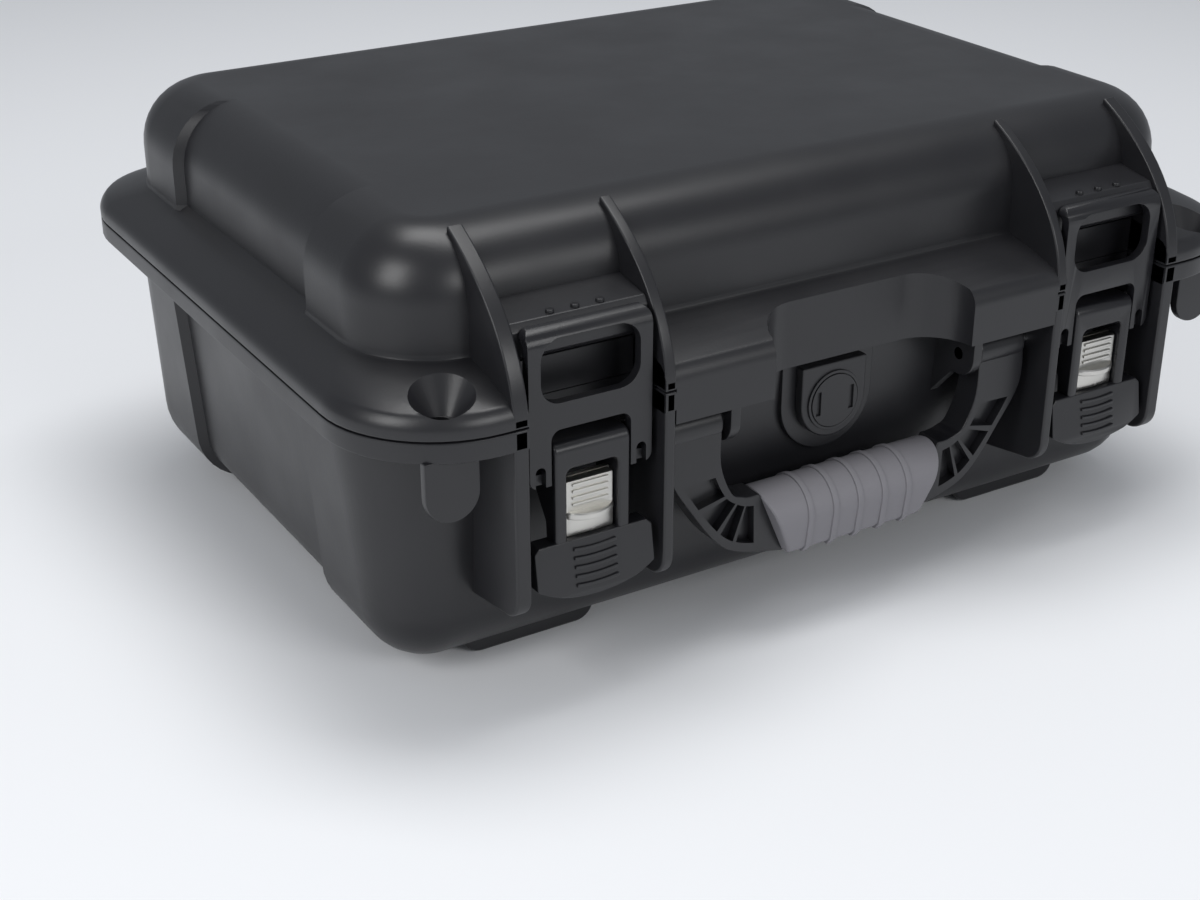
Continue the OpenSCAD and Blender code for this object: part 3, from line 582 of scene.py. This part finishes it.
lid = grow_rings("lid_shell_moulded", inner_lid_rings() + outer_lid_rings())
print("lid dome", len(lid.data.polygons), "faces")

# %% [markdown]
# The skirt over the handle hangs from the lid and follows the hand recess, so it joins the lid before the
# recess is cut. The rim opens at the latch bays, and the padlock eyes sit in funnels.

# %% Skirt and cuts in the lid
KNUCKLE_MID, KNUCKLE_ROOM = 23.4, 12.5


def skirt_band():
    outer = skirt_outline(SKIRT_T)[2:]
    inner = skirt_outline(0)[2:]
    return extruded("skirt", "xy", outer + inner[::-1], SKIRT_LOW, LID_LOW + 2)


def cylinder(name, centre, radius, length, axis="z", sides=32, top_radius=None):
    """A primitive cylinder, or a cone if it has a top radius, standing on centre along the axis."""
    bpy.ops.object.select_all(action="DESELECT")
    turn = {"x": (0, math.radians(90), 0), "y": (math.radians(-90), 0, 0), "z": (0, 0, 0)}[axis]
    way = Vector({"x": (1, 0, 0), "y": (0, 1, 0), "z": (0, 0, 1)}[axis])
    top = radius if top_radius is None else top_radius
    middle = (Vector(centre) + way * length / 2) * MM
    bpy.ops.mesh.primitive_cone_add(vertices=sides, radius1=radius * MM, radius2=top * MM,
                                    depth=length * MM, rotation=turn, location=middle)
    bpy.ops.object.transform_apply(location=True, rotation=True, scale=True)
    piece = bpy.context.object
    piece.name = piece.data.name = name
    return piece


fuse(lid, skirt_band())
carve(lid, extruded("cut", "xy", skirt_outline(0), SKIRT_LOW - 5, TOP))
for side in (-1, 1):
    middle = side * LATCH_X
    carve(lid, block("cut", middle - BAY, middle + BAY, FRONT - 20, BAY_BACK, LID_LOW - 5, VALLEY + 5))
    for end in (-1, 1):
        spot = side * HINGE_X + end * KNUCKLE_MID
        carve(lid, block("cut", spot - KNUCKLE_ROOM, spot + KNUCKLE_ROOM, AXIS_Y - 7, AXIS_Y + 20,
                         LID_LOW - 5, SEAM + 20))
    carve(lid, cylinder("cut", (side * PADLOCK_X, PADLOCK_Y, LID_LOW - 5), PADLOCK_R, 20))
    funnel = (side * (PADLOCK_X - 1), PADLOCK_Y - 1, 121)
    carve(lid, cylinder("cut", funnel, PADLOCK_R + 1, 13, sides=48, top_radius=15))
print("lid with its cuts", len(lid.data.polygons), "faces")

# %% [markdown]
# What stands on the lid: a pair of tall ribs beside each latch, whose crest climbs in one sweep from the
# rim to the crown, the keeper between them that the claw grips, and the middle knuckle of each hinge.

# %% Ribs and keepers of the lid
def lid_rib(x0, x1):
    crest = bow((FRONT, 122), (FRONT + 4, 156), (FRONT + 45, TOP - 0.5))
    outline = [(FRONT, LID_LOW)] + crest
    outline += [(-118, TOP - 0.5), (-118, 160), (-DOME_Y + 3, 150), (-DOME_Y + 3, LID_LOW)]
    return round_edges(extruded("rib", "yz", outline, x0, x1), 1.0, segments=3)


def keeper(x0, x1):
    lip = -151.8
    outline = [(-DOME_Y + 2, 137), (lip + 2, 137), (lip, 139), (lip, 148), (lip + 2, 151), (-DOME_Y + 2, 154)]
    shelf = round_edges(extruded("keeper", "yz", outline, x0, x1), 0.6, segments=2, angle=30)
    bumps = [cylinder("bump", (-LATCH_X + x, lip + 4, 150.4), 1.6, 2.2, sides=20) for x in (-10, 0, 10)]
    return [shelf] + [round_edges(bump, 0.6) for bump in bumps]


LID_BRACKET = [(BACK - 8, LID_LOW), (AXIS_Y, LID_LOW), (AXIS_Y + 4.5, SEAM + 3.6), (BACK - 4, SEAM + 9.5),
               (BACK - 8, SEAM + 9.5)]
parts = [lid_rib(-LATCH_X - BAY - RIB_OUT, -LATCH_X - BAY), lid_rib(-LATCH_X + BAY, -LATCH_X + BAY + RIB_IN)]
parts += keeper(-LATCH_X - BAY, -LATCH_X + BAY)
parts += knuckle(-HINGE_X - LID_KNUCKLE, -HINGE_X + LID_KNUCKLE, LID_BRACKET)
join_all(lid, with_twins(parts))
print("lid with its ribs", len(lid.data.polygons), "faces")

# %% [markdown]
# Both shells take the same plastic and ride on their own bodies. The shading is smooth over the big curves
# and sharp at real edges.

# %% Dress the shells
smooth_skin(base)
smooth_skin(lid)
dress(base, SHELL, "shell", "base", "base_shell")
dress(lid, SHELL, "shell", "lid", "lid_shell", "left_latch_bracket", "right_latch_bracket")

# %% [markdown]
# ## The latches
# Each latch has three mouldings. The lever is a block on a pivot with a wide grip below; the claw is a plate
# with a window for the keeper and two forked legs on the lever's second pin; the slide lock is a small
# die-cast key in the lever's own window. All are drawn for the left bay and mirrored.

# %% Outlines of the latch
PIN_Y, PIN_Z, CLAW_PIN_Y, CLAW_PIN_Z = -149, 103, -146, 91
CLAW_Y, CLAW_T, CLAW_LOW, CLAW_HIGH = -159, 4, 91, 150
LEVER_Y, LEVER_LOW, BLOCK_HALF, GRIP_HALF = -160, 45, 15.5, 24.5
WINDOW_HALF, WINDOW_LOW, WINDOW_TOP = 10.5, 66, 96


def round_box(half, z0, z1, radius, steps=8):
    """A rounded rectangle round the latch's own middle, in x and z."""
    points = arc(half - radius, z1 - radius, radius, 0, 90, steps)
    points += arc(-half + radius, z1 - radius, radius, 90, 180, steps)
    points += arc(-half + radius, z0 + radius, radius, 180, 270, steps)
    points += arc(half - radius, z0 + radius, radius, 270, 360, steps)
    return [(x - LATCH_X, z) for x, z in points]


def common(piece, other):
    return boolean(piece, other, "INTERSECT")


# %% [markdown]
# The claw is cut from a flat plate: window, the gap for the lever block, and the two fork slots. Then the
# side view trims it, which leaves the curl at the top that hooks over the keeper.

# %% The claw
def claw():
    half, bend, gap = 25, 6.5, BLOCK_HALF + 0.7
    plate = extruded("latch_claw", "xz", round_box(half, CLAW_LOW, CLAW_HIGH, 3.5), CLAW_Y - 1, CLAW_Y + 8)
    carve(plate, extruded("cut", "xz", round_box(20, 122, 146, 8), CLAW_Y - 3, CLAW_Y + 10))
    carve(plate, extruded("cut", "xz", round_box(gap, 80, 112, 4), CLAW_Y - 3, CLAW_Y + 10))
    for side in (-1, 1):
        slot = [(x + side * 20.6, z) for x, z in round_box(2, 80, 99, 2)]
        carve(plate, extruded("cut", "xz", slot, CLAW_Y - 3, CLAW_Y + 10))
    profile = [(CLAW_Y, CLAW_LOW - 1)] + arc(CLAW_Y + bend, CLAW_HIGH - bend, bend, 180, 90, 6)
    profile += arc(CLAW_Y + bend, CLAW_HIGH - bend, bend - CLAW_T, 90, 180, 4)
    profile += [(CLAW_Y + CLAW_T, CLAW_LOW - 1)]
    common(plate, extruded("side", "yz", profile, -LATCH_X - half - 1, -LATCH_X + half + 1))
    round_edges(plate, 0.9, segments=3)
    bosses = []
    for side in (-1, 1):
        x0 = -LATCH_X + (gap if side > 0 else -half)
        bosses.append(round_edges(cylinder("boss", (x0, CLAW_PIN_Y, CLAW_PIN_Z), 4, half - gap, "x"), 0.5))
        bosses.append(block("cheek", x0, x0 + half - gap, CLAW_Y + 3, CLAW_PIN_Y, CLAW_PIN_Z, CLAW_PIN_Z + 4))
    return join_all(plate, bosses)


left_claw = smooth_skin(claw())
right_claw = mirrored_copy(left_claw, "right_latch_claw_moulded")
left_claw.name = "left_latch_claw_moulded"
dress(left_claw, LATCH, "latch", "left_claw", "left_latch_claw")
dress(right_claw, LATCH, "latch", "right_claw", "right_latch_claw")

# %% [markdown]
# The lever's block is a side view extruded and opened by the window. The grip is wider and its lower edge
# is bowed; it comes from a front view cut by a side view. Five raised bows stop the finger from slipping.

# %% The lever
def lever_block():
    top_r = 3.5
    side = [(LEVER_Y, 60)] + arc(LEVER_Y + 4, 102.5, 4, 180, 90, 6) + arc(PIN_Y, PIN_Z, top_r, 90, 0, 6)
    side += [(CLAW_PIN_Y + 4, CLAW_PIN_Z + 2), (CLAW_PIN_Y + 4, CLAW_PIN_Z - 3)]
    side += [(LEVER_Y + 8, 74), (LEVER_Y + 7, 60)]
    body = extruded("latch_lever", "yz", side, -LATCH_X - BLOCK_HALF, -LATCH_X + BLOCK_HALF)
    window = round_box(WINDOW_HALF, WINDOW_LOW, WINDOW_TOP, 2.5)
    carve(body, extruded("cut", "xz", window, LEVER_Y - 5, LEVER_Y + 40))
    return round_edges(body, 1.3, segments=3)


def grip_front(z):
    return LEVER_Y - 3.5 * (69 - z) / 21


def lever_grip():
    sag = 7
    bow_r = (GRIP_HALF ** 2 + sag ** 2) / (2 * sag)
    spread = math.degrees(math.asin(GRIP_HALF / bow_r))
    front = arc(0, LEVER_LOW + bow_r, bow_r, 270 - spread, 270 + spread, 20)
    front += [(GRIP_HALF, 66), (GRIP_HALF - 2, 68), (-GRIP_HALF + 2, 68), (-GRIP_HALF, 66)]
    front = [(x - LATCH_X, z) for x, z in front]
    side = [(LEVER_Y, 69), (LEVER_Y - 3.5, 48), (LEVER_Y - 2.5, 44)]
    side += [(LEVER_Y + 3, 44), (LEVER_Y + 7, 60), (LEVER_Y + 7, 69)]
    grip = extruded("grip", "xz", front, LEVER_Y - 6, LEVER_Y + 10)
    common(grip, extruded("side", "yz", side, -LATCH_X - 30, -LATCH_X + 30))
    return round_edges(grip, 1.2, segments=3)


def finger_bow(z):
    """A raised bow across the grip, higher at its ends than in the middle."""
    radius, half = 62, 9
    spread = math.degrees(math.asin(half / radius))
    low = arc(0, z + radius, radius, 270 - spread, 270 + spread, 12)
    high = arc(0, z + radius, radius - 1.5, 270 + spread, 270 - spread, 12)
    outline = [(x - LATCH_X, v) for x, v in low + high]
    return round_edges(extruded("bow", "xz", outline, grip_front(z) - 0.7, grip_front(z) + 2), 0.5)


def lever():
    body = lever_block()
    grip = lever_grip()
    bows = [finger_bow(LEVER_LOW + 4.5 + 3.4 * i) for i in range(5)]
    return join_all(body, [grip] + bows)


left_lever = smooth_skin(lever())
right_lever = mirrored_copy(left_lever, "right_latch_lever_moulded")
left_lever.name = "left_latch_lever_moulded"
dress(left_lever, LATCH, "latch", "left_lever", "left_latch_lever")
dress(right_lever, LATCH, "latch", "right_lever", "right_latch_lever")

# %% [markdown]
# The slide lock is die-cast: a plate in the lever's window, steps for the thumb above, a bowed lip, and a
# rounded belly under the lip. Belly and lip are stacked rings seen from above.

# %% The slide lock
SLIDE_Y, SLIDE_Z, SLIDE_HALF, SLIDE_H = -157.6, 68, 9.8, 22


def bowed_ring(half, depth, z):
    """Seen from above: flat at the back and bowed to the front by depth."""
    radius = (half ** 2 + depth ** 2) / (2 * depth)
    spread = math.degrees(math.asin(half / radius))
    front = arc(0, SLIDE_Y - depth + radius, radius, 270 - spread, 270 + spread, 16)
    return [(x - LATCH_X, y, z) for x, y in front + [(half, SLIDE_Y + 1.5), (-half, SLIDE_Y + 1.5)]]


def slide_lock():
    half = SLIDE_HALF
    behind, top = SLIDE_Y + 4.4, SLIDE_Z + SLIDE_H
    plate = block("slide_lock", -LATCH_X - half, -LATCH_X + half, SLIDE_Y, behind, SLIDE_Z, top)
    plate = round_edges(plate, 0.7, segments=2)
    runner = block("runner", -LATCH_X - half - 2, -LATCH_X + half + 2, behind, SLIDE_Y + 6.4, SLIDE_Z, top)
    belly = grow_rings("belly", [bowed_ring(half - 0.6, d, z) for d, z in
                                 ((0.3, 68.4), (1.2, 69), (2.1, 71), (2.6, 73.5), (2.8, 75.6))])
    lip_rings = ((0.5, 4.0, 75.2), (0.1, 4.6, 75.6), (0, 4.7, 76.4), (0.1, 4.6, 77.4), (0.5, 4.0, 77.9))
    lip = grow_rings("lip", [bowed_ring(half - inset, d, z) for inset, d, z in lip_rings])
    steps = [block("step", -LATCH_X - 7.5, -LATCH_X + 7.5, SLIDE_Y - 0.8, SLIDE_Y + 1, z, z + 1.3)
             for z in (80, 82.6, 85.2, 87.8)]
    return join_all(plate, [runner, belly, lip] + [round_edges(step, 0.4) for step in steps])


left_slide = smooth_skin(slide_lock())
right_slide = mirrored_copy(left_slide, "right_slide_lock_cast")
left_slide.name = "left_slide_lock_cast"
dress(left_slide, ZINC, "lock_metal", "left_slide", "left_slide_lock")
dress(right_slide, ZINC, "lock_metal", "right_slide", "right_slide_lock")

# %% [markdown]
# ## The handle
# The frame is one moulding with an arm at each side. An arm is a plate with pockets from front and back,
# which leaves rails along its edges, a thin web and cross struts. The bar between the arms carries the grip.

# %% The handle frame
ARM_T = 12
ARM_OUT = [(85, 94), (85, 77), (75, 60), (63, 44), (52, 37), (31, 32)]
ARM_IN = [(62, 94), (62, 77), (57, 64), (52, 61), (48, 60), (44, 60)]


def smooth_line(stations, steps=5):
    """A curve through the stations, keeping its ends."""
    ends = [stations[0]] + list(stations) + [stations[-1]]
    line = []
    for p0, p1, p2, p3 in zip(ends, ends[1:], ends[2:], ends[3:]):
        for i in range(steps):
            t = i / steps
            line.append(tuple(0.5 * (2 * b + (c - a) * t + (2 * a - 5 * b + 4 * c - d) * t * t
                                     + (3 * b - a - 3 * c + d) * t ** 3)
                              for a, b, c, d in zip(p0, p1, p2, p3)))
    return line + [stations[-1]]


def on_arm(u, v):
    """A point on the arm: u runs along it and v from its outer to its inner edge."""
    outer, inner = smooth_line(ARM_OUT), smooth_line(ARM_IN)
    at = u * (len(outer) - 1)
    i = min(int(at), len(outer) - 2)
    a = [between(outer[i][k], outer[i + 1][k], at - i) for k in (0, 1)]
    b = [between(inner[i][k], inner[i + 1][k], at - i) for k in (0, 1)]
    return tuple(between(a[k], b[k], v) for k in (0, 1))


def pocket_outline(u0, u1):
    steps = [u0 + (u1 - u0) * i / 4 for i in range(5)]
    return [on_arm(u, 0.17) for u in steps] + [on_arm(u, 0.83) for u in reversed(steps)]


def arm():
    outline = smooth_line(ARM_OUT) + smooth_line(ARM_IN)[::-1]
    outline = [(-x, z) for x, z in outline]
    plate = extruded("arm", "xz", outline, PIVOT_Y - ARM_T / 2, PIVOT_Y + ARM_T / 2)
    round_edges(plate, 1.2, segments=3, angle=50)
    for u0, u1 in ((0.26, 0.40), (0.43, 0.56), (0.59, 0.72), (0.75, 0.86)):
        hole = [(-x, z) for x, z in pocket_outline(u0, u1)]
        for y0, y1 in ((PIVOT_Y - ARM_T, PIVOT_Y - 2), (PIVOT_Y + 2, PIVOT_Y + ARM_T)):
            carve(plate, extruded("cut", "xz", hole, y0, y1))
    knob = round_edges(cylinder("knob", (-85, PIVOT_Y, PIVOT_Z), 7, 23, "x", sides=40), 1.0, segments=3)
    return join_all(plate, [knob])


left_arm = arm()
right_arm = mirrored_copy(left_arm, "arm_twin")
bar = block("handle_frame_moulded", -44, 44, PIVOT_Y - 5.5, PIVOT_Y + 5.5, 38, 54)
handle = smooth_skin(join_all(bar, [left_arm, right_arm]))
dress(handle, HANDLE, "handle", "handle", "handle_frame")

# %% [markdown]
# The soft grip is moulded round the bar: round on top where the palm lies and flatter below, with ends that
# slant in with the arms. Bands across it give the hand some hold.

# %% The soft grip
def grip_section(grow=0.0):
    radius, low = 13 + grow, 32 - grow
    section = arc(PIVOT_Y, 47, radius, -10, 190, 28)
    return section + [(PIVOT_Y - radius + 1.5, low + 3), (PIVOT_Y - radius + 4, low),
                      (PIVOT_Y + radius - 4, low), (PIVOT_Y + radius - 1.5, low + 3)]


def soft_grip():
    body = extruded("handle_grip_soft", "yz", grip_section(), -46, 46)
    slant = [(-44, 62), (44, 62), (44, 60), (31, 30), (-31, 30), (-44, 60)]
    common(body, extruded("slant", "xz", slant, PIVOT_Y - 30, PIVOT_Y + 30))
    round_edges(body, 1.5, segments=3, angle=50)
    bands = [round_edges(extruded("band", "yz", grip_section(0.7), x - 1.4, x + 1.4), 0.6)
             for x in (-24, -12, 0, 12, 24)]
    return join_all(body, bands)


grip = smooth_skin(soft_grip())
dress(grip, GRIP, "soft_grip", "handle", "handle_grip")

# %% [markdown]
# ## The pressure valve
# The valve is a tongue-shaped plate on a pad of the wall, with a slotted disc over the vent.

# %% The valve
def valve():
    plate = extruded("valve_body_moulded", "xz", valve_outline(15.5, 100), -139.4, -135)
    round_edges(plate, 0.8, segments=3)
    collar = cylinder("collar", (0, -140.2, VALVE_Z), 12.6, 1.4, "y", sides=48)
    carve(collar, cylinder("cut", (0, -141, VALVE_Z), 11.3, 4, "y", sides=48))
    stem = cylinder("stem", (0, -136, VALVE_Z), 6, 13.3, "y", sides=40)
    return join_all(plate, [round_edges(collar, 0.3), stem])


def vent_disc():
    disc = cylinder("valve_disc_moulded", (0, -140.4, VALVE_Z), 11, 2.7, "y", sides=48)
    for side in (-1, 1):
        carve(disc, block("cut", side * 7.9 - 1.1, side * 7.9 + 1.1, -142, -136, VALVE_Z - 5, VALVE_Z + 5))
    return round_edges(disc, 0.4)


dress(smooth_skin(valve()), VALVE, "valve", "base", "valve_body")
dress(smooth_skin(vent_disc()), VALVE, "valve", "base", "valve_disc")

# %% [markdown]
# ## The foam
# The lining is cut from soft foam with pockets for the drone, its controller, the batteries and the charger.
# The pockets are cut with straight walls and a little round at their upper edge.

# %% The foam lining
FOAM_Z, FOAM_TOP, POCKET_Z = 11.5, 117, 33.5


def foam_pocket(piece, x0, x1, y0, y1, radius, z0):
    corners = arc(x1 - radius, y1 - radius, radius, 0, 90, 8)
    corners += arc(x0 + radius, y1 - radius, radius, 90, 180, 8)
    corners += arc(x0 + radius, y0 + radius, radius, 180, 270, 8)
    corners += arc(x1 - radius, y0 + radius, radius, 270, 360, 8)
    carve(piece, extruded("cut", "xy", corners, z0, FOAM_TOP + 5))


def base_foam():
    x, y = CAVITY_X - 0.5, CAVITY_Y - 0.5
    rings = [ring(x - 27, -y + 27, y - 27, 0.5, FOAM_Z), ring(x - 12, -y + 12, y - 12, 16, FOAM_Z + 6),
             ring(x - 5, -y + 5, y - 5, 21, FOAM_Z + 22), ring(x, -y, y, 35.5, 103),
             ring(x, -y, y, 35.5, FOAM_TOP - 1.5), ring(x - 0.5, -y + 0.5, y - 0.5, 35, FOAM_TOP - 0.4),
             ring(x - 1.5, -y + 1.5, y - 1.5, 34, FOAM_TOP)]
    piece = grow_rings("base_foam_cut", rings)
    foam_pocket(piece, -172, 42, 8, 116, 22, POCKET_Z)
    for x_mid in (-129.2, -0.8):
        carve(piece, cylinder("cut", (x_mid, 8, POCKET_Z + 12), 13, 90))
    foam_pocket(piece, -172, 0, -116, -24, 16, POCKET_Z + 14)
    for x0 in (128, 70, 12):
        foam_pocket(piece, x0, x0 + 44, -116, -24, 8, POCKET_Z)
    foam_pocket(piece, 56, 172, 8, 116, 12, POCKET_Z + 6)
    carve(piece, extruded("cut", "xz", valve_outline(16, 130), -134, -118.5))
    return round_edges(piece, 0.8, angle=60)


def lid_foam():
    rings = []
    for i in range(7):
        x, y, corner_r, z = dome_ring(179.5, 128.5, 31.5, 22, 172.5, 15 * i)
        rings.append(ring(x, -y, y, corner_r, z))
    first = [ring(178.5, -127.5, 127.5, 30.5, 147), ring(179.5, -128.5, 128.5, 31.5, 148)]
    return grow_rings("lid_foam_cut", first + rings)


for piece, body, node in ((base_foam(), "base", "base_foam"), (lid_foam(), "lid", "lid_foam")):
    dress(smooth_skin(piece), FOAM, "foam", body, node)

# %% [markdown]
# Small parts keep the shape they have in the frame: pins, gasket, seal, membrane and nut. They only need
# their finish.

# %% Finish of the small parts
SMALL = {"pin": STEEL, "gasket": SEAL, "seal": SEAL, "membrane": FILM, "nut": VALVE}
for name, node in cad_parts.items():
    paint = SMALL.get(name.split("_")[-1])
    if paint:
        node.data.materials.clear()
        node.data.materials.append(paint)
        print(name, "gets", paint.name)

# %% [markdown]
# The case stands on a plain pale table, which catches its shadow. A plane is enough, because only its
# upper face shows. It lies half a millimetre below the feet, so that the two never share a face.

# %% Floor
bpy.ops.mesh.primitive_plane_add(size=6, location=(0, 0, -0.0005))
floor = bpy.context.object
floor.name = "table_top"
floor.data.materials.append(FLOOR)
